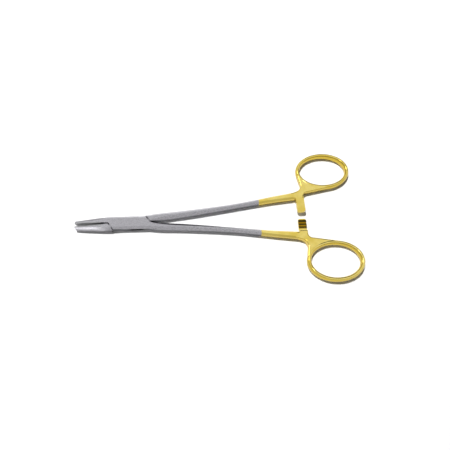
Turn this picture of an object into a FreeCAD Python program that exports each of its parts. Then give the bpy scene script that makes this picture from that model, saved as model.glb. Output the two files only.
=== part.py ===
import FreeCAD, Part
import os
import Sketcher
from FreeCAD import Placement, Rotation, Vector

# Box-lock needle holder with ring handles, lying flat and slightly open.
# The origin is on the resting plane below the pivot, +X runs to the finger rings and +Z is up.
# Each half is drawn in its closed place, about the axis of the instrument, and then turned
# about the pivot by half of the rest opening. The box half has its ring at -Y, the tongue half at +Y.

doc = FreeCAD.newDocument("NeedleHolder")
sheet = doc.addObject("Spreadsheet::Sheet", "Dims")

sizes = {
    # Whole instrument
    "body_height": 4.8,        # thickness of the box lock and of the ring bars
    "rest_opening": 2.8,       # degrees between the halves as they lie
    # Box lock
    "box_reach": 11.4,         # pivot to where a plate's slanted end meets the axis
    "box_corner": 8.65,        # pivot to a plate's outer corner, along the axis
    "box_half_width": 3.85,
    "box_bevel": 1.2,
    "slot_height": 1.7,
    "tongue_play": 0.05,       # gap above and below the tongue in its slot
    "side_play": 0.12,         # gap between the tongue's sides and the slot's walls when closed
    "tongue_relief": 1.4,      # how far the tongue's free corners are cut back from the slot's mouths
    "shoulder_play": 0.6,      # gap between a plate's slanted end and the shoulder it faces
    # Pivot pin, its heads countersunk and ground flush
    "pin_radius": 1.5,
    "pin_head_radius": 2.1,
    "pin_head_depth": 0.6,
    "pin_play": 0.04,          # radial clearance of the pin in the tongue
    # Jaws, from the tip to the box
    "jaw_reach": 30.4,         # pivot to the tip
    "jaw_tip_width": 1.9,
    "jaw_fore_width": 2.7,
    "jaw_rear_width": 3.4,
    "jaw_tip_height": 2.8,
    "jaw_fore_height": 3.3,
    "jaw_rear_height": 4.0,
    "jaw_tip_bevel": 1.15,
    "jaw_fore_bevel": 1.5,
    "jaw_rear_bevel": 1.6,
    "jaw_tip_round": 1.3,
    "jaw_tip_flare": 0.12,     # how far the rounding runs out past the tip's width
    "insert_length": 14.5,
    "jaw_relief": 0.35,        # how far the face behind the insert stands back
    "insert_depth": 0.62,
    # Finger ring, an oval bar of oval section
    "ring_at": 113.45,         # pivot to the ring's middle, along the axis
    "ring_out": 25.0,          # axis to the ring's middle
    "ring_half_length": 14.6,  # along the middle of the bar
    "ring_half_width": 10.5,
    "ring_toe_in": 0.25,       # degrees
    "ring_bar_width": 2.4,
    # Ratchet arms
    "arm_at": 97.5,            # pivot to the middle of the arm
    "arm_width": 4.6,
    "arm_past_axis": 0.7,      # how far an arm reaches past the axis when closed
    "arm_root": 7.1,           # axis to where the full height begins
    "arm_floor": 0.35,         # resting plane to the underside of the lower arm
    "arm_corner_round": 1.1,
    "arm_sink": 1.0,           # how deep the arm's bar runs into the web
    "tooth_count": 3,
    "tooth_pitch": 1.75,
    "tooth_depth": 0.55,
    "tooth_tip_land": 0.6,
    "tooth_play": 0.04,        # gap between the crests of the two arms as they pass
    # Web between shank, ring and arm
    "web_height": 4.3,
    "web_edge_round": 0.9,
    "web_start": 89.9,
    "web_start_inset": 0.9,    # how far inside the shank's inner edge the web begins
    "web_ring_reach": 2.9,     # how far past the ring's middle the web runs along the bar
    "web_ring_sink": 0.45,     # how deep its ends lie in the bar
    "web_ring_short": 0.5,     # how far its near end stops short of the ring's long axis
    "web_outer_corner_at": 99.6,
    "web_outer_corner_out": 13.5,
    "web_outer_fillet": 4.0,
    "web_arm_fillet": 0.6,
    "web_ring_corner_out": 11.1,
    "web_ring_fillet": 2.6,
    # Cutting
    "cut_past": 1.0,           # how far a cut runs past what it cuts
    "slot_drift": 0.02,        # how far the slot's edge leaves the axis past the box
}

# Shank stations after the box, evenly spaced up to the web: distances of the inner and the outer edge
# from the axis, height of the section and its bevel
shankStations = [
    (0.75, 4.95, 4.7, 1.6),
    (1.8, 5.5, 4.55, 1.45),
    (3.1, 6.25, 4.4, 1.2),
    (4.5, 7.3, 4.35, 1.1),
    (5.9, 8.8, 4.35, 1.05),
    (7.1, 10.5, 4.45, 0.95),
    (7.9, 12.1, 4.0, 0.85),
]
for number, (inner, outer, height, bevel) in enumerate(shankStations, 1):
    sizes[f"shank_inner_{number}x"] = inner
    sizes[f"shank_outer_{number}x"] = outer
    sizes[f"shank_height_{number}x"] = height
    sizes[f"shank_bevel_{number}x"] = bevel
sizes["shank_end"] = 95.9
sizes["crotch_bevel"] = 0.08   # inner bevel where the two shanks part

for row, (alias, value) in enumerate(sizes.items(), 1):
    sheet.set(f"A{row}", alias)
    sheet.set(f"B{row}", str(value))
    sheet.setAlias(f"B{row}", alias)
doc.recompute()

mid = "Dims.body_height / 2"
tight = 0.001   # places closer than this are the same
overrun = 0.5   # share of its own length that the cut of a slanted end runs past the corner
rounded = 0.3   # share of a rounding that stays outside its middle corner, and of a flat bevel it is a half
flat = 0.5
roomy = 0.8     # share of a step that its rounding may take


def originFeature(body, role):
    return [feature for feature in body.Origin.OriginFeatures if feature.Role == role][0]


def newSketch(body, name, role, offset):
    """A sketch parallel to one of the body's own planes, at a distance along its normal."""
    sketch = body.newObject("Sketcher::SketchObject", name)
    sketch.AttachmentSupport = [(originFeature(body, role), "")]
    sketch.MapMode = "FlatFace"
    sketch.setExpression("AttachmentOffset.Base.z", offset)
    return sketch


def arcBetween(start, end, radius):
    """The shorter arc from start to end. A positive radius turns left on the way, a negative one turns right."""
    chord = end - start
    rise = (radius ** 2 - (chord.Length / 2) ** 2) ** 0.5
    left = Vector(-chord.y, chord.x, 0).normalize()
    centre = start + chord / 2 + left * (rise if radius > 0 else -rise)
    first, last = (start, end) if radius > 0 else (end, start)
    angles = []
    for point in (first, last):
        above = 1 if point.y >= centre.y else -1
        angles.append(above * Vector(1, 0, 0).getAngle(point - centre))
    circle = Part.Circle(centre, Vector(0, 0, 1), abs(radius))
    return Part.ArcOfCircle(circle, angles[0], angles[1])


def outline(body, name, role, offset, corners):
    """A closed outline whose corners follow their expressions. The edge after a corner is straight, or an arc
    where the corner has a third entry, the arc's radius with its sign in front."""
    sketch = newSketch(body, name, role, offset)
    read = sketch.evalExpression
    points = [Vector(read(corner[0]), read(corner[1]), 0) for corner in corners]
    count = len(corners)
    starts, ends = [], []
    for index, corner in enumerate(corners):
        after = points[(index + 1) % count]
        radius = read(corner[2]) if len(corner) > 2 else 0
        if radius:
            sketch.addGeometry(arcBetween(points[index], after, radius))
        else:
            sketch.addGeometry(Part.LineSegment(points[index], after))
        starts.append(2 if radius < 0 else 1)
        ends.append(1 if radius < 0 else 2)
        if radius:
            number = sketch.addConstraint(Sketcher.Constraint("Radius", index, abs(radius)))
            sketch.setExpression(f"Constraints[{number}]", f"abs({corner[2]})")
    for index in range(count):
        after = (index + 1) % count
        sketch.addConstraint(Sketcher.Constraint("Coincident", index, ends[index], after, starts[after]))
    for index, corner in enumerate(corners):
        for kind, expression in (("DistanceX", corner[0]), ("DistanceY", corner[1])):
            place = Sketcher.Constraint(kind, -1, 1, index, starts[index], read(expression))
            number = sketch.addConstraint(place)
            sketch.setExpression(f"Constraints[{number}]", expression)
    return sketch


def ellipse(body, name, role, offset, across, up):
    """An ellipse about the sketch's own origin, from its two half widths."""
    sketch = newSketch(body, name, role, offset)
    halfAcross, halfUp = sketch.evalExpression(across), sketch.evalExpression(up)
    ends = [(Vector(halfAcross, 0, 0), across), (Vector(0, halfUp, 0), up)]
    if halfUp > halfAcross:
        ends = [(Vector(0, halfUp, 0), up), (Vector(-halfAcross, 0, 0), across)]
    curve = sketch.addGeometry(Part.Ellipse(ends[0][0], ends[1][0], Vector(0, 0, 0)))
    sketch.exposeInternalGeometry(curve)
    sketch.addConstraint(Sketcher.Constraint("Coincident", curve, 3, -1, 1))
    sketch.addConstraint(Sketcher.Constraint("Vertical" if halfUp > halfAcross else "Horizontal", curve + 1))
    for axis, (end, half) in enumerate(ends, 1):
        number = sketch.addConstraint(Sketcher.Constraint("Distance", curve + axis, 2 * end.Length))
        sketch.setExpression(f"Constraints[{number}]", f"2 * ({half})")
    return sketch


def pad(body, name, profile, length):
    feature = body.newObject("PartDesign::Pad", name)
    feature.Profile = profile
    feature.setExpression("Length", length)
    doc.recompute()
    return feature


def pocket(body, name, profile, depth):
    """Cuts down from the sketch, against its normal, and makes sure that it did."""
    before = body.Tip.Shape.Volume
    feature = body.newObject("PartDesign::Pocket", name)
    feature.Profile = profile
    feature.setExpression("Length", depth)
    doc.recompute()
    if feature.Shape.Volume >= before:
        raise RuntimeError(f"{body.Label}: {name} cuts nothing")
    return feature


def throughCut(body, name, corners):
    """A cut through the full height, from above the piece to below it."""
    profile = outline(body, name + "Outline", "XY_Plane", "Dims.body_height + Dims.cut_past", corners)
    return pocket(body, name, profile, "Dims.body_height + 2 * Dims.cut_past")


def loft(body, name, profiles):
    feature = body.newObject("PartDesign::AdditiveLoft", name)
    feature.Profile = profiles[0]
    feature.Sections = profiles[1:]
    doc.recompute()
    return feature


def edgeNames(shape, test):
    return [f"Edge{number}" for number, edge in enumerate(shape.Edges, 1) if test(edge)]


def roundEdges(body, name, test, radius):
    base = body.Tip
    feature = body.newObject("PartDesign::Fillet", name)
    feature.Base = (base, edgeNames(base.Shape, test))
    feature.setExpression("Radius", radius)
    doc.recompute()
    return feature


def newPiece(label, side):
    """A body turned about the pivot to its rest place: side is +1 for the tongue half's pieces, -1 for the box
    half's and 0 for what lies on the pivot's axis."""
    body = doc.addObject("PartDesign::Body", label)
    body.Label = label
    if side:
        body.Placement = Placement(Vector(0, 0, 0), Rotation(Vector(0, 0, 1), side))
        body.setExpression("Placement.Rotation.Angle", f"{side} * Dims.rest_opening / 2")
    return body


def jawBlank(body, side):
    """The jaw as forged, from its rounded tip to the box. It lies on the other side of the axis from the ring."""
    stations = [
        ("Tip", "Dims.jaw_tip_width", "Dims.jaw_tip_height", "Dims.jaw_tip_bevel", rounded),
        ("Fore", "Dims.jaw_fore_width", "Dims.jaw_fore_height", "Dims.jaw_fore_bevel", rounded),
        ("Rear", "Dims.jaw_rear_width", "Dims.jaw_rear_height", "Dims.jaw_rear_bevel", rounded),
        ("Root", "Dims.box_half_width", "Dims.body_height", "Dims.box_bevel", flat),
    ]
    profiles = []
    last = len(stations) - 1
    for step, (name, width, height, bevel, share) in enumerate(stations):
        low, high = f"{mid} - {height} / 2", f"{mid} + {height} / 2"
        corners = [
            ("0", low),
            (f"{-side} * ({width} - {bevel})", low),
            (f"{-side} * ({width} - {bevel} * {share})", f"{low} + {bevel} * {share}"),
            (f"{-side} * {width}", f"{low} + {bevel}"),
            (f"{-side} * {width}", f"{high} - {bevel}"),
            (f"{-side} * ({width} - {bevel} * {share})", f"{high} - {bevel} * {share}"),
            (f"{-side} * ({width} - {bevel})", high),
            ("0", high),
        ]
        offset = f"-1 * Dims.jaw_reach + (Dims.jaw_reach - Dims.box_reach) * {step} / {last}"
        profiles.append(outline(body, "Jaw" + name, "YZ_Plane", offset, corners))
    loft(body, "Jaw", profiles)
    # The tip is rounded in plan, and the arc runs out through the jaw's widening side.
    front = "-1 * (Dims.jaw_reach + Dims.cut_past)"
    back = "-1 * (Dims.jaw_reach - Dims.jaw_tip_round)"
    low = f"{-side} * (Dims.jaw_tip_width + Dims.jaw_tip_flare - Dims.jaw_tip_round)"
    high = f"{-side} * (Dims.jaw_tip_width + Dims.jaw_tip_flare)"
    beyond = f"{-side} * (Dims.jaw_tip_width + 2 * Dims.cut_past)"
    corners = [
        (front, low),
        ("-1 * Dims.jaw_reach", low, f"{side} * Dims.jaw_tip_round"),
        (back, high),
        (back, beyond),
        (front, beyond),
    ]
    throughCut(body, "JawTipRound", corners)


def shank(body, side):
    """The shank, a bevelled bar that leaves the box beside the axis and bows out towards its ring."""
    last = len(shankStations)
    profiles = []
    for number in range(last + 1):
        names = ("inner", "outer", "height", "bevel")
        inner, outer, height, bevel = [f"Dims.shank_{name}_{number}x" for name in names]
        innerBevel = bevel
        if number == 0:
            inner, outer, height, bevel = "0", "Dims.box_half_width", "Dims.body_height", "Dims.box_bevel"
            innerBevel = "Dims.crotch_bevel"
        low, high = f"{mid} - {height} / 2", f"{mid} + {height} / 2"
        corners = [
            (f"{side} * ({inner} + {innerBevel})", low),
            (f"{side} * ({outer} - {bevel})", low),
            (f"{side} * {outer}", f"{low} + {bevel}"),
            (f"{side} * {outer}", f"{high} - {bevel}"),
            (f"{side} * ({outer} - {bevel})", high),
            (f"{side} * ({inner} + {innerBevel})", high),
            (f"{side} * {inner}", f"{high} - {innerBevel}"),
            (f"{side} * {inner}", f"{low} + {innerBevel}"),
        ]
        offset = f"Dims.box_reach + (Dims.shank_end - Dims.box_reach) * {number} / {last}"
        profiles.append(outline(body, f"Shank{number}", "YZ_Plane", offset, corners))
    loft(body, "Shank", profiles)


def webAndRing(body, side):
    """The flat web where shank, ring and arm meet, its edges rounded, and the oval ring around the finger hole."""
    ringLeft = "Dims.ring_at - Dims.ring_half_length - Dims.ring_bar_width / 2"
    ringNear = "Dims.ring_out - Dims.ring_half_width - Dims.ring_bar_width / 2"
    armLeft = "Dims.arm_at - Dims.arm_width / 2"
    armRight = "Dims.arm_at + Dims.arm_width / 2"
    corners = [
        ("Dims.web_start", f"{side} * (Dims.shank_inner_7x + Dims.web_start_inset)"),
        (armLeft, f"{side} * Dims.shank_inner_7x"),
        (armLeft, f"{side} * Dims.arm_root"),
        (armRight, f"{side} * Dims.arm_root"),
        (armRight, f"{side} * Dims.web_ring_corner_out"),
        ("Dims.ring_at + Dims.web_ring_reach", f"{side} * ({ringNear} + Dims.web_ring_sink)"),
        ("Dims.ring_at + Dims.web_ring_reach", f"{side} * ({ringNear} + 2 * Dims.ring_bar_width)"),
        (f"{ringLeft} + 2 * Dims.ring_bar_width", f"{side} * (Dims.ring_out - Dims.web_ring_short)"),
        (f"{ringLeft} + Dims.web_ring_sink / 2", f"{side} * (Dims.ring_out - Dims.web_ring_short)"),
        ("Dims.web_outer_corner_at", f"{side} * Dims.web_outer_corner_out"),
        ("Dims.web_start", f"{side} * Dims.shank_outer_6x"),
    ]
    profile = outline(body, "WebOutline", "XY_Plane", f"{mid} - Dims.web_height / 2", corners)
    pad(body, "Web", profile, "Dims.web_height")
    middle = sheet.body_height / 2

    def cornerEdge(x, out):
        def test(edge):
            ends = [vertex.Point for vertex in edge.Vertexes]
            return all(abs(end.x - x) < tight and abs(end.y - side * out) < tight for end in ends)
        return test

    armFillet = f"min(Dims.web_arm_fillet; {roomy} * (Dims.shank_inner_7x - Dims.arm_root))"
    armSides = sheet.arm_at - sheet.arm_width / 2, sheet.arm_at + sheet.arm_width / 2
    roundEdges(body, "WebArmFillet", cornerEdge(armSides[0], sheet.shank_inner_7x), armFillet)
    roundEdges(body, "WebRingFillet", cornerEdge(armSides[1], sheet.web_ring_corner_out), "Dims.web_ring_fillet")
    outer = cornerEdge(sheet.web_outer_corner_at, sheet.web_outer_corner_out)
    roundEdges(body, "WebOuterFillet", outer, "Dims.web_outer_fillet")

    def rim(edge):
        ends = [vertex.Point for vertex in edge.Vertexes]
        level = all(abs(abs(end.z - middle) - sheet.web_height / 2) < tight for end in ends)
        return level and edge.BoundBox.ZLength < tight and min(end.x for end in ends) > sheet.web_start - tight

    roundEdges(body, "WebRimRound", rim, "Dims.web_edge_round")

    hole = ellipse(body, "RingMiddle", "XY_Plane", "Dims.body_height + Dims.cut_past", "Dims.ring_half_length",
                   "Dims.ring_half_width")
    path = ellipse(body, "RingPath", "XY_Plane", mid, "Dims.ring_half_length", "Dims.ring_half_width")
    for sketch in (hole, path):
        sketch.AttachmentOffset = Placement(Vector(0, 0, 0), Rotation(Vector(0, 0, 1), -side))
        sketch.setExpression("AttachmentOffset.Base.x", "Dims.ring_at")
        sketch.setExpression("AttachmentOffset.Base.y", f"{side} * Dims.ring_out")
        sketch.setExpression("AttachmentOffset.Rotation.Angle", f"{-side} * Dims.ring_toe_in")
    pocket(body, "RingClearing", hole, "Dims.body_height + 2 * Dims.cut_past")
    farAcross = "Dims.ring_half_length * cos(Dims.ring_toe_in)"
    farOut = "Dims.ring_out - Dims.ring_half_length * sin(Dims.ring_toe_in)"
    bar = ellipse(body, "RingSection", "XZ_Plane", f"{-side} * ({farOut})", "Dims.ring_bar_width / 2", mid)
    bar.AttachmentOffset = Placement(Vector(0, 0, 0), Rotation(Vector(0, 1, 0), -side))
    bar.setExpression("AttachmentOffset.Base.x", f"Dims.ring_at + {farAcross}")
    bar.setExpression("AttachmentOffset.Base.y", mid)
    bar.setExpression("AttachmentOffset.Rotation.Angle", f"{-side} * Dims.ring_toe_in")
    ring = body.newObject("PartDesign::AdditivePipe", "Ring")
    ring.Profile = bar
    ring.Spine = (path, ["Edge1"])
    doc.recompute()


def ratchetArm(body, side):
    """The arm that reaches past the axis. The box half's lies low with its teeth on top, the tongue half's lies
    high with its teeth underneath, and their steep faces look back to their own rings."""
    def level(z):
        return z if side < 0 else f"Dims.body_height - ({z})"

    crest = f"{mid} - Dims.tooth_play / 2"
    valley = f"{crest} - Dims.tooth_depth"
    tip = "-1 * Dims.arm_past_axis"
    corners = [(tip, valley), (f"{tip} + Dims.tooth_tip_land", valley)]
    for tooth in range(1, int(sheet.tooth_count) + 1):
        end = f"{tip} + Dims.tooth_tip_land + {tooth} * Dims.tooth_pitch"
        corners += [(end, crest), (end, valley)]
    root = "Dims.arm_root + Dims.web_edge_round + Dims.arm_sink"
    corners += [(root, valley), (root, "Dims.arm_floor"), (tip, "Dims.arm_floor")]
    corners = [(f"{side} * ({out})", level(z)) for out, z in corners]
    profile = outline(body, "ArmSide", "YZ_Plane", "Dims.arm_at - Dims.arm_width / 2", corners)
    pad(body, "Arm", profile, "Dims.arm_width")
    tipOut = -side * sheet.arm_past_axis

    def armCorner(edge):
        ends = [vertex.Point for vertex in edge.Vertexes]
        onTip = all(abs(end.y - tipOut) < tight for end in ends)
        upright = edge.BoundBox.XLength < tight
        return onTip and upright and min(end.x for end in ends) > sheet.arm_at - sheet.arm_width

    roundEdges(body, "ArmCorners", armCorner, "Dims.arm_corner_round")


def plateEnd(direction, play):
    """The slanted end of the box's plates, on the axis and past the outer edge. The front end, direction -1, lies
    at -Y and the rear end, direction 1, lies at +Y."""
    slant = "(Dims.box_reach - Dims.box_corner)"
    onAxis = (f"{direction} * (Dims.box_reach + {play})", "0")
    beyond = (f"{direction} * (Dims.box_corner + {play} - {slant} * {overrun})",
              f"{direction} * Dims.box_half_width * (1 + {overrun})")
    return onAxis, beyond


def boxBlock(body):
    """The block that the box and the two shoulders are cut from."""
    flat, wide = "(Dims.box_half_width - Dims.box_bevel)", "Dims.box_half_width"
    low, high, top = "Dims.box_bevel", "Dims.body_height - Dims.box_bevel", "Dims.body_height"
    corners = [
        (flat, "0"),
        (wide, low),
        (wide, high),
        (flat, top),
        (f"-1 * {flat}", top),
        (f"-1 * {wide}", high),
        (f"-1 * {wide}", low),
        (f"-1 * {flat}", "0"),
    ]
    section = outline(body, "BoxSection", "YZ_Plane", "-1 * Dims.box_reach", corners)
    pad(body, "Box", section, "2 * Dims.box_reach")


def insertRecess(body, side):
    """The recess that the jaw insert is brazed into, open at the jaw's face and at its tip, and the relieved face
    between it and the box."""
    front = "-1 * (Dims.jaw_reach + Dims.cut_past)"
    back = "-1 * (Dims.jaw_reach - Dims.insert_length)"
    corners = [
        (front, f"{side} * Dims.cut_past"),
        (front, f"{-side} * Dims.insert_depth"),
        (back, f"{-side} * Dims.insert_depth"),
        (back, f"{side} * Dims.cut_past"),
    ]
    throughCut(body, "InsertRecess", corners)
    relief = f"{-side} * Dims.jaw_relief"
    root = "-1 * (Dims.box_reach + Dims.shoulder_play)"
    throughCut(body, "JawRelief", [(back, f"{side} * Dims.cut_past"), (back, relief), (root, "0")])


def pinProfile(body, name):
    """Half of the pin's section: a straight shank between two countersunk heads."""
    corners = [
        ("0", "0"),
        ("Dims.pin_head_radius", "0"),
        ("Dims.pin_radius", "Dims.pin_head_depth"),
        ("Dims.pin_radius", "Dims.body_height - Dims.pin_head_depth"),
        ("Dims.pin_head_radius", "Dims.body_height"),
        ("0", "Dims.body_height"),
    ]
    return outline(body, name, "XZ_Plane", "0", corners)


def boxHalf():
    side = -1
    body = newPiece("box_half", side)
    boxBlock(body)
    for name, direction in (("FrontCorner", -1), ("RearCorner", 1)):
        onAxis, beyond = plateEnd(direction, "0")
        past = f"{direction} * (Dims.box_reach + 2 * Dims.cut_past)"
        throughCut(body, name, [onAxis, beyond, (past, beyond[1]), (past, "0")])
    jawBlank(body, side)
    webAndRing(body, side)
    shank(body, side)
    # The slot is open on both sides and has two walls, where the jaw and the shank begin.
    wall = "(Dims.box_corner - Dims.shoulder_play)"
    edge = "Dims.box_half_width"
    corners = []
    for direction in (1, -1):
        corners += [
            (f"{direction} * {wall}", f"{-direction} * ({edge} + Dims.cut_past)"),
            (f"{direction} * {wall}", f"{-direction} * {edge}"),
            (f"{direction} * Dims.box_reach", "0"),
            (f"{direction} * (Dims.box_reach + 2 * Dims.cut_past)", f"{direction} * Dims.slot_drift"),
            (f"{direction} * (Dims.box_reach + 2 * Dims.cut_past)", f"{direction} * ({edge} + Dims.cut_past)"),
        ]
    profile = outline(body, "SlotOutline", "XY_Plane", f"{mid} + Dims.slot_height / 2", corners)
    pocket(body, "Slot", profile, "Dims.slot_height")
    seat = pinProfile(body, "PinSeatSection")
    groove = body.newObject("PartDesign::Groove", "PinSeat")
    groove.Profile = seat
    groove.ReferenceAxis = (seat, ["V_Axis"])
    doc.recompute()
    insertRecess(body, side)
    ratchetArm(body, side)
    return body


def tongueHalf():
    side = 1
    body = newPiece("tongue_half", side)
    boxBlock(body)
    jawBlank(body, side)
    webAndRing(body, side)
    shank(body, side)
    # The full height stops at two shoulders, clear of the plates' ends.
    corners = []
    for direction in (-1, 1):
        onAxis, beyond = plateEnd(direction, "Dims.shoulder_play")
        corners += [onAxis, beyond, (f"{-direction} * (Dims.box_reach + Dims.shoulder_play)", beyond[1])]
    throughCut(body, "Shoulders", corners)
    # The tongue runs through the slot from jaw to shank, its sides clear of the slot's two walls.
    wall = "(Dims.box_corner - Dims.shoulder_play - Dims.side_play)"
    edge = "(Dims.box_half_width - Dims.side_play)"
    corners = []
    for direction in (1, -1):
        corners += [
            ("0", f"{-direction} * {edge}"),
            (f"{direction} * {wall}", f"{-direction} * ({edge} - Dims.tongue_relief)"),
            (f"{direction} * (Dims.box_reach - Dims.side_play)", "0"),
            (f"{direction} * (Dims.box_reach + Dims.cut_past)", "0"),
            (f"{direction} * (Dims.box_reach + Dims.cut_past)", f"{direction} * ({edge} - Dims.box_bevel)"),
            (f"{direction} * Dims.box_corner", f"{direction} * {edge}"),
        ]
    height = "(Dims.slot_height - 2 * Dims.tongue_play)"
    profile = outline(body, "TongueOutline", "XY_Plane", f"{mid} - {height} / 2", corners)
    pad(body, "Tongue", profile, height)
    hole = newSketch(body, "PinHoleCircle", "XY_Plane", "Dims.body_height + Dims.cut_past")
    radius = "Dims.pin_radius + Dims.pin_play"
    hole.addGeometry(Part.Circle(Vector(0, 0, 0), Vector(0, 0, 1), hole.evalExpression(radius)))
    hole.addConstraint(Sketcher.Constraint("Coincident", 0, 3, -1, 1))
    number = hole.addConstraint(Sketcher.Constraint("Radius", 0, hole.evalExpression(radius)))
    hole.setExpression(f"Constraints[{number}]", radius)
    pocket(body, "PinHole", hole, "Dims.body_height + 2 * Dims.cut_past")
    insertRecess(body, side)
    ratchetArm(body, side)
    return body


def pivotPin():
    body = newPiece("pivot_pin", 0)
    profile = pinProfile(body, "PinSection")
    revolution = body.newObject("PartDesign::Revolution", "Pin")
    revolution.Profile = profile
    revolution.ReferenceAxis = (profile, ["V_Axis"])
    doc.recompute()
    return body


def jawInsert(label, side):
    """A hard-metal face, the size of its recess and flush with the jaw all round."""
    body = newPiece(label, side)
    jawBlank(body, side)
    front = "-1 * (Dims.jaw_reach + Dims.cut_past)"
    back = "-1 * (Dims.jaw_reach - Dims.insert_length)"
    depth = f"{-side} * Dims.insert_depth"
    near = f"{side} * Dims.cut_past"
    beyond = f"{-side} * (Dims.box_half_width + Dims.cut_past)"
    corners = [(front, depth), (back, depth), (back, near), ("0", near), ("0", beyond), (front, beyond)]
    throughCut(body, "InsertTrim", corners)
    return body


pieces = [
    boxHalf(),
    tongueHalf(),
    pivotPin(),
    jawInsert("box_jaw_insert", -1),
    jawInsert("tongue_jaw_insert", 1),
]
doc.recompute()

for item in doc.Objects:
    if "Invalid" in item.State or "Error" in item.State:
        raise RuntimeError(f"{item.Name} failed: {item.State}")
for piece in pieces:
    shape = piece.Shape
    if shape.isNull() or not shape.isValid() or len(shape.Solids) != 1:
        raise RuntimeError(f"{piece.Label} is not one valid solid: {len(shape.Solids)}")

os.makedirs("parts", exist_ok=True)
for piece in pieces:
    piece.Shape.exportStep(f"parts/{piece.Label}.step")
    print(f"{piece.Label}: {piece.Shape.Volume:.1f} mm3")
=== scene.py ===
import math
import bmesh
import bpy
from mathutils import Matrix, Vector


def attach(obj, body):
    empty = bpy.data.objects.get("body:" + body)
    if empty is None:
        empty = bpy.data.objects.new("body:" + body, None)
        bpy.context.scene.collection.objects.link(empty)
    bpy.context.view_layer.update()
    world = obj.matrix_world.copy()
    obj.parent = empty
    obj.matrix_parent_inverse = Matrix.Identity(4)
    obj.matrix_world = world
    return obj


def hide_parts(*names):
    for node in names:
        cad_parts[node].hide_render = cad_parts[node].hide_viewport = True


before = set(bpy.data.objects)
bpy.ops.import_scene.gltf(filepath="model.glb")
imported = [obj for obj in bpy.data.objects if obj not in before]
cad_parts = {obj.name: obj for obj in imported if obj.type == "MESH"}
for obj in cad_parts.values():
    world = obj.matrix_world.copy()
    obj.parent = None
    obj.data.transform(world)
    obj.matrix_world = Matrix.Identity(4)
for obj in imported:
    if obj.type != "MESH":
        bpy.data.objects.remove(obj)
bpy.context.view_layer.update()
mm = 0.001
print("frame loaded")

# The two halves lie open by this angle in degrees, each turned by half of it about the pivot
restOpening = 2.8
halfTurn = math.radians(restOpening / 2)


# Small helpers for materials

def newMaterial(name):
    material = bpy.data.materials.new(name)
    material.use_nodes = True
    material.node_tree.nodes.clear()
    return material, material.node_tree


def node(tree, kind, **values):
    made = tree.nodes.new(kind)
    for name, value in values.items():
        setattr(made, name, value)
    return made


def feed(tree, source, socket):
    # A socket takes a number, a colour or what another node gives
    if isinstance(source, (int, float)):
        socket.default_value = source
    elif isinstance(source, tuple):
        socket.default_value = (*source, 1)
    else:
        tree.links.new(source, socket)


def mapRange(tree, source, low, high, toLow=0.0, toHigh=1.0):
    made = node(tree, "ShaderNodeMapRange", interpolation_type="SMOOTHSTEP")
    feed(tree, source, made.inputs["Value"])
    for name, value in (("From Min", low), ("From Max", high), ("To Min", toLow), ("To Max", toHigh)):
        made.inputs[name].default_value = value
    return made.outputs["Result"]


def calculate(tree, operation, *values):
    made = node(tree, "ShaderNodeMath", operation=operation)
    for socket, value in zip(made.inputs, values):
        feed(tree, value, socket)
    return made.outputs["Value"]


def mix(tree, factor, first, second, kind="RGBA"):
    made = node(tree, "ShaderNodeMix", data_type=kind)
    socket, result = {"FLOAT": (2, 0), "RGBA": (6, 2)}[kind]   # where the node keeps numbers, and colours
    feed(tree, factor, made.inputs["Factor"])
    feed(tree, first, made.inputs[socket])
    feed(tree, second, made.inputs[socket + 1])
    return made.outputs[result]


def splitAxes(tree, vector):
    made = node(tree, "ShaderNodeSeparateXYZ")
    feed(tree, vector, made.inputs["Vector"])
    return made.outputs


def mapped(tree, vector, scale, turn=0.0):
    made = node(tree, "ShaderNodeMapping")
    made.inputs["Rotation"].default_value[2] = turn
    made.inputs["Scale"].default_value = scale
    feed(tree, vector, made.inputs["Vector"])
    return made.outputs["Vector"]


def turnedPlace(tree, side):
    # The place on a half in mm, as if the instrument were shut, so that the grain runs along each half
    coords = node(tree, "ShaderNodeTexCoord")
    return mapped(tree, coords.outputs["Object"], (1 / mm, 1 / mm, 1 / mm), -side * halfTurn)


def noise(tree, vector, scale, detail, roughness):
    made = node(tree, "ShaderNodeTexNoise")
    made.inputs["Scale"].default_value = scale
    made.inputs["Detail"].default_value = detail
    made.inputs["Roughness"].default_value = roughness
    feed(tree, vector, made.inputs["Vector"])
    return made.outputs["Fac"]


def showSurface(tree, surface, kind="ShaderNodeOutputMaterial"):
    feed(tree, surface, node(tree, kind).inputs["Surface"])


def showMetal(tree, colour, roughness, normal=None):
    shader = node(tree, "ShaderNodeBsdfPrincipled")
    shader.inputs["Metallic"].default_value = 1.0
    feed(tree, colour, shader.inputs["Base Color"])
    feed(tree, roughness, shader.inputs["Roughness"])
    if normal is not None:
        feed(tree, normal, shader.inputs["Normal"])
    showSurface(tree, shader.outputs["BSDF"])


def dress(piece, material):
    piece.data.materials.clear()
    piece.data.materials.append(material)


def place(data):
    made = bpy.data.objects.new(data.name, data)
    bpy.context.scene.collection.objects.link(made)
    return made


# The forged halves: satin steel, brushed along its length, and gilt handles, with painted shade on upright
# sides and inside the box lock

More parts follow.
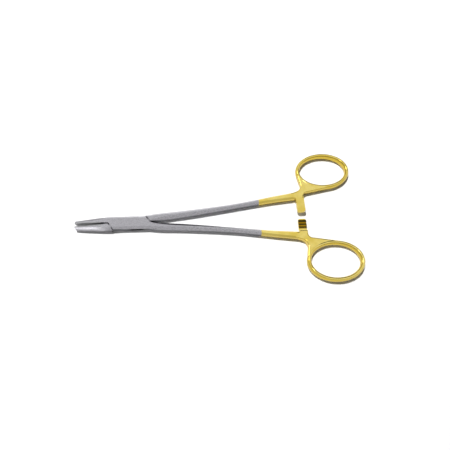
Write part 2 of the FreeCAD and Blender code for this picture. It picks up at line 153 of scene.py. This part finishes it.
forged = {
    "steel": (0.56, 0.55, 0.585),
    "steelDark": (0.47, 0.462, 0.492),
    "steelSideShade": (0.12, 0.12, 0.132),      # painted shade where it stands upright, for the shadowed ground it mirrors
    "steelInsideShade": (0.10, 0.10, 0.11),     # painted shade inside the box lock, where shade falls in its gaps
    "gold": (1.0, 0.82, 0.25),
    "goldDeep": (0.88, 0.67, 0.13),
    # painted shade and dark reflection where the gilt stands upright
    "goldSideShade": (0.56, 0.41, 0.055),
    "steelRoughness": (0.22, 0.36),
    "goldRoughness": (0.05, 0.14),
    # How level the surface is where the painted shade of a side begins and is full, 1 being level and 0
    # upright
    "steelShadeSlope": (0.55, 0.20),
    "goldShadeSlope": (0.90, 0.45),
    # Where the painted shade inside the box lock begins and is full: in mm from the pivot, then in mm above
    # the ground
    "insideReach": (10.4, 10.0),
    "insideFloor": (1.45, 1.60),
    "insideRoof": (3.35, 3.20),
    "goldFrom": 73.9,                      # mm from the pivot, where the gilt begins
    "goldEdge": 0.25,                      # mm, how soft its edge is
    "goldStray": 0.3,                      # mm, how far its edge wanders
    "grain": (0.035, 1.0, 1.0),            # the brushing is drawn out along each half
    # Noise: features to the mm, detail and roughness
    "streaks": (9.0, 4.0, 0.65),
    "fineStreaks": (36.0, 2.0, 0.6),
    "cloud": (0.11, 2.0, 0.5),
    "stray": (0.9, 2.0, 0.5),
    # The part of the noise that runs from one tone, or one roughness, to the other
    "streakTones": (0.30, 0.75),
    "streakGloss": (0.25, 0.75),
    "cloudTones": (0.35, 0.65),
    "cloudGloss": (0.30, 0.70),
    "bumpDepth": 0.01,                     # mm
    "bumpStrength": (0.12, 0.04),          # on the steel and on the gilt
    "edgeWidth": 0.16,                     # mm, the polished-over edges
    "edgeSegments": 2,
    "edgeAngle": 26,                       # degrees, the least turn that is an edge
}


def brushed(tree, where, streaks):
    return noise(tree, mapped(tree, where, forged["grain"]), *forged[streaks])


def lockShadeShare(tree, where):
    # The share of painted shade inside the box lock, by distance from the pivot and height above the ground
    x, _, z = splitAxes(tree, where)
    share = mapRange(tree, calculate(tree, "ABSOLUTE", x), *forged["insideReach"])
    for edge in ("insideFloor", "insideRoof"):
        share = calculate(tree, "MULTIPLY", share, mapRange(tree, z, *forged[edge]))
    return share


def giltShare(tree, where):
    stray = calculate(tree, "MULTIPLY", noise(tree, where, *forged["stray"]), forged["goldStray"])
    reach = calculate(tree, "ADD", splitAxes(tree, where)["X"], stray)
    return mapRange(tree, reach, forged["goldFrom"], forged["goldFrom"] + forged["goldEdge"])


def forgedMetal(name, side):
    material, tree = newMaterial(name)
    where = turnedPlace(tree, side)
    streaks = brushed(tree, where, "streaks")
    cloud = noise(tree, where, *forged["cloud"])
    gilt = giltShare(tree, where)
    normal = splitAxes(tree, node(tree, "ShaderNodeNewGeometry").outputs["Normal"])
    level = calculate(tree, "ABSOLUTE", normal["Z"])
    steel = mix(tree, mapRange(tree, streaks, *forged["streakTones"]), forged["steelDark"], forged["steel"])
    # Painted shade on upright sides, for the shadowed ground they mirror
    steel = mix(tree, mapRange(tree, level, *forged["steelShadeSlope"]), steel, forged["steelSideShade"])
    # Painted shade inside the box lock
    steel = mix(tree, lockShadeShare(tree, where), steel, forged["steelInsideShade"])
    gold = mix(tree, mapRange(tree, cloud, *forged["cloudTones"]), forged["goldDeep"], forged["gold"])
    # Painted shade and dark reflection on upright gilt
    gold = mix(tree, mapRange(tree, level, *forged["goldShadeSlope"]), gold, forged["goldSideShade"])
    steelRough = mapRange(tree, streaks, *forged["streakGloss"], *forged["steelRoughness"])
    goldRough = mapRange(tree, cloud, *forged["cloudGloss"], *forged["goldRoughness"])
    bump = node(tree, "ShaderNodeBump")
    bump.inputs["Distance"].default_value = forged["bumpDepth"] * mm
    feed(tree, brushed(tree, where, "fineStreaks"), bump.inputs["Height"])
    feed(tree, mapRange(tree, gilt, 0, 1, *forged["bumpStrength"]), bump.inputs["Strength"])
    roughness = mix(tree, gilt, steelRough, goldRough, "FLOAT")
    showMetal(tree, mix(tree, gilt, steel, gold), roughness, bump.outputs["Normal"])
    return material


def softenEdges(piece):
    bevel = piece.modifiers.new("PolishedEdges", "BEVEL")
    bevel.width = forged["edgeWidth"] * mm
    bevel.segments = forged["edgeSegments"]
    bevel.limit_method = "ANGLE"
    bevel.angle_limit = math.radians(forged["edgeAngle"])
    bevel.harden_normals = True
    bevel.use_clamp_overlap = True


def finishHalf(name, side):
    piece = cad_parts[name]
    dress(piece, forgedMetal(name + "_metal", side))
    for polygon in piece.data.polygons:
        polygon.use_smooth = True
    softenEdges(piece)


finishHalf("box_half", -1)
finishHalf("tongue_half", 1)
print("halves finished")


# The pivot pin: its heads are ground flush with the box and brushed along with it

pin = {
    "colour": (0.55, 0.54, 0.575),
    "colourDark": (0.465, 0.457, 0.487),
    "roughness": (0.22, 0.36),
}


def pinMetal():
    material, tree = newMaterial("pin_steel_ground")
    streaks = brushed(tree, turnedPlace(tree, -1), "streaks")
    colour = mix(tree, mapRange(tree, streaks, *forged["streakTones"]), pin["colourDark"], pin["colour"])
    showMetal(tree, colour, mapRange(tree, streaks, *forged["streakGloss"], *pin["roughness"]))
    return material


dress(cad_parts["pivot_pin"], pinMetal())
print("pin finished")


# The jaw inserts: hard metal, their gripping faces cut crosswise into small points

insert = {
    "colour": (0.30, 0.305, 0.315),
    "colourWorn": (0.46, 0.46, 0.465),
    "roughness": (0.30, 0.46),
    "speckle": (3.0, 4.0, 0.6),    # noise: features to the mm, detail and roughness
    "speckleTones": (0.35, 0.65),
    "speckleGloss": (0.30, 0.70),
    "pitch": 0.5,                  # mm between grooves
    "depth": 0.14,                 # mm
    "faceTolerance": 0.02,         # mm, how near the closing face a corner lies
    "weld": 0.002,                 # mm, corners nearer than this are one
    "flatAngle": 1,                # degrees, faces that turn by less are one
    "cutTolerance": 1e-8,          # m, corners nearer to a cut lie on it
}


def insertMetal(side):
    material, tree = newMaterial("hard_metal_cut")
    speckle = noise(tree, turnedPlace(tree, side), *insert["speckle"])
    worn = mapRange(tree, speckle, *insert["speckleTones"])
    roughness = mapRange(tree, speckle, *insert["speckleGloss"], *insert["roughness"])
    showMetal(tree, mix(tree, worn, insert["colour"], insert["colourWorn"]), roughness)
    return material


def onFace(vertex):
    return abs(vertex.co.y) < insert["faceTolerance"] * mm


def scoreFace(mesh, slant):
    # Cuts the closing face along each groove's bottom and along each crest between two grooves
    step = insert["pitch"] * mm / 2
    normal = Vector((1, 0, slant)).normalized()
    reaches = [vertex.co.dot(normal) for vertex in mesh.verts]
    for count in range(math.floor(min(reaches) / step), math.ceil(max(reaches) / step) + 1):
        faces = [face for face in mesh.faces if all(onFace(vertex) for vertex in face.verts)]
        around = {item for face in faces for item in (*face.edges, *face.verts)}
        bmesh.ops.bisect_plane(mesh, geom=[*around, *faces], dist=insert["cutTolerance"],
                               plane_co=normal * step * count, plane_no=normal)


def pressPoints(mesh, side):
    # A corner keeps its full height only where two crests cross
    for vertex in mesh.verts:
        if not onFace(vertex):
            continue
        shares = []
        for slant in (1, -1):
            grooves = (vertex.co.x + slant * vertex.co.z) / math.sqrt(2) / (insert["pitch"] * mm)
            shares.append(abs(grooves - round(grooves)) * 2)
        vertex.co.y -= side * (1 - min(shares)) * insert["depth"] * mm


def cutInsert(name, body, side):
    # A copy of the plain insert, cut as if the instrument were shut, takes its place
    toShut = Matrix.Rotation(-side * halfTurn, 4, "Z")
    mesh = bmesh.new()
    mesh.from_mesh(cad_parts[name].data)
    mesh.transform(toShut)
    bmesh.ops.remove_doubles(mesh, verts=mesh.verts, dist=insert["weld"] * mm)
    bmesh.ops.dissolve_limit(mesh, angle_limit=math.radians(insert["flatAngle"]), verts=mesh.verts,
                             edges=mesh.edges)
    for slant in (1, -1):
        scoreFace(mesh, slant)
    pressPoints(mesh, side)
    bmesh.ops.triangulate(mesh, faces=mesh.faces)
    bmesh.ops.recalc_face_normals(mesh, faces=mesh.faces)
    mesh.transform(toShut.inverted())
    data = bpy.data.meshes.new(name + "_cut")
    mesh.to_mesh(data)
    mesh.free()
    piece = place(data)
    dress(piece, insertMetal(side))
    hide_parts(name)
    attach(piece, body)
    print(name, "cut,", len(data.polygons), "faces")


cutInsert("box_jaw_insert", "box_side", -1)
cutInsert("tongue_jaw_insert", "tongue_side", 1)


# The floor, a plain pale ground that stays white and keeps the shadow

floor = {
    "colour": (0.86, 0.86, 0.86),
    "lift": 0.04,              # white added for the camera and for reflections
    "fade": (0.25, 0.70),      # m from the middle, from where on the ground turns plain white, and is white
    "half": 2.0,               # m
}


def floorWhite():
    material, tree = newMaterial("floor_white")
    rays = node(tree, "ShaderNodeLightPath").outputs
    seen = calculate(tree, "MAXIMUM", rays["Is Camera Ray"], rays["Is Glossy Ray"])
    seen = calculate(tree, "MAXIMUM", seen, rays["Is Transmission Ray"])
    distance = node(tree, "ShaderNodeVectorMath", operation="LENGTH")
    feed(tree, node(tree, "ShaderNodeTexCoord").outputs["Object"], distance.inputs[0])
    lift = mapRange(tree, distance.outputs["Value"], *floor["fade"], floor["lift"], 1.0)
    matt = node(tree, "ShaderNodeBsdfDiffuse")
    feed(tree, floor["colour"], matt.inputs["Color"])
    glow = node(tree, "ShaderNodeEmission")
    feed(tree, calculate(tree, "MULTIPLY", seen, lift), glow.inputs["Strength"])
    both = node(tree, "ShaderNodeAddShader")
    feed(tree, matt.outputs["BSDF"], both.inputs[0])
    feed(tree, glow.outputs["Emission"], both.inputs[1])
    showSurface(tree, both.outputs["Shader"])
    return material


def makeFloor():
    half = floor["half"]
    corners = [(-half, -half, 0), (half, -half, 0), (half, half, 0), (-half, half, 0)]
    data = bpy.data.meshes.new("floor")
    data.from_pydata(corners, [], [(0, 1, 2, 3)])
    ground = place(data)
    dress(ground, floorWhite())


makeFloor()
print("floor laid")


# Soft studio light, nearly overhead

studio = {
    "aim": (0.053, 0.0, 0.0),          # m, the point that the lamps face
    "skyLow": 0.48,                    # brightness of the sky just above the ground
    "skyHigh": 0.80,                   # and overhead
    "skyLowTo": 0.75,                  # height, as a share of straight up, where it is full
    "skyOnMatt": 0.03,                 # share of the sky that falls on matt surfaces, lamps light the rest
    # A dark card hangs in the sky behind the rings: where each of its soft edges begins and is full
    "cardAcross": (-0.14, 0.10),
    "cardBehind": (0.25, 0.50),
    "cardFoot": (0.04, 0.16),
    "cardHead": (0.76, 0.56),
    "cardDark": 0.93,                  # share of the sky that it takes away
}

lamps = {
    # name: place in m, size in m, power in W, seen in the metal
    "key": ((-0.16, 0.29, 1.20), 0.17, 19.0, False),
    "strip": ((-0.45, -0.32, 1.00), 0.25, 0.7, True),
    "window": ((-0.55, 0.35, 0.38), 0.30, 1.0, True),
}


def areaLight(name, where, size, power, seen):
    data = bpy.data.lights.new(name, "AREA")
    data.shape = "DISK"
    data.size = size
    data.energy = power
    lamp = place(data)
    lamp.visible_glossy = seen
    lamp.location = where
    lamp.rotation_euler = (Vector(studio["aim"]) - Vector(where)).to_track_quat("-Z", "Y").to_euler()


def makeWorld():
    world = bpy.data.worlds.new("studio")
    bpy.context.scene.world = world
    world.use_nodes = True
    tree = world.node_tree
    tree.nodes.clear()
    way = splitAxes(tree, node(tree, "ShaderNodeTexCoord").outputs["Generated"])
    card = 1.0
    for axis, edge in (("X", "cardAcross"), ("Y", "cardBehind"), ("Z", "cardFoot"), ("Z", "cardHead")):
        card = calculate(tree, "MULTIPLY", card, mapRange(tree, way[axis], *studio[edge]))
    sky = mapRange(tree, way["Z"], 0, studio["skyLowTo"], studio["skyLow"], studio["skyHigh"])
    sky = calculate(tree, "MULTIPLY", sky, mapRange(tree, card, 0, 1, 1, 1 - studio["cardDark"]))
    rays = node(tree, "ShaderNodeLightPath").outputs
    share = mapRange(tree, rays["Is Glossy Ray"], 0, 1, studio["skyOnMatt"], 1)
    sky = calculate(tree, "MULTIPLY", sky, share)
    back = node(tree, "ShaderNodeBackground")
    feed(tree, (1, 1, 1), back.inputs["Color"])
    sky = calculate(tree, "MAXIMUM", sky, rays["Is Camera Ray"])   # plain white where it is seen
    feed(tree, sky, back.inputs["Strength"])
    showSurface(tree, back.outputs["Background"], "ShaderNodeOutputWorld")


for lampName, lampFacts in lamps.items():
    areaLight(lampName, *lampFacts)
makeWorld()
print("light set")


# The camera, at the photograph's place

eye = {
    "target": (53.739, -2.564, 0.0),   # mm, in the middle of the picture
    "distance": 238.0,                 # mm
    "azimuth": -3.107,                 # degrees, as are the next two
    "elevation": 67.26,
    "roll": 0.227,
    "lens": 33.44,                     # mm, as is the sensor
    "sensor": 36.0,
    "nearest": 0.01,                   # m, what is nearer isn't drawn
}


def makeCamera():
    data = bpy.data.cameras.new("camera")
    data.lens = eye["lens"]
    data.sensor_width = eye["sensor"]
    data.clip_start = eye["nearest"]
    camera = place(data)
    across, up = math.radians(eye["azimuth"]), math.radians(eye["elevation"])
    back = Vector((math.sin(across) * math.cos(up), -math.cos(across) * math.cos(up), math.sin(up)))
    camera.location = (Vector(eye["target"]) + back * eye["distance"]) * mm
    turn = (-back).to_track_quat("-Z", "Y").to_matrix() @ Matrix.Rotation(math.radians(eye["roll"]), 3, "Z")
    camera.rotation_euler = turn.to_euler()
    bpy.context.scene.camera = camera


makeCamera()
bpy.context.scene.view_settings.view_transform = "Standard"
print("camera set")
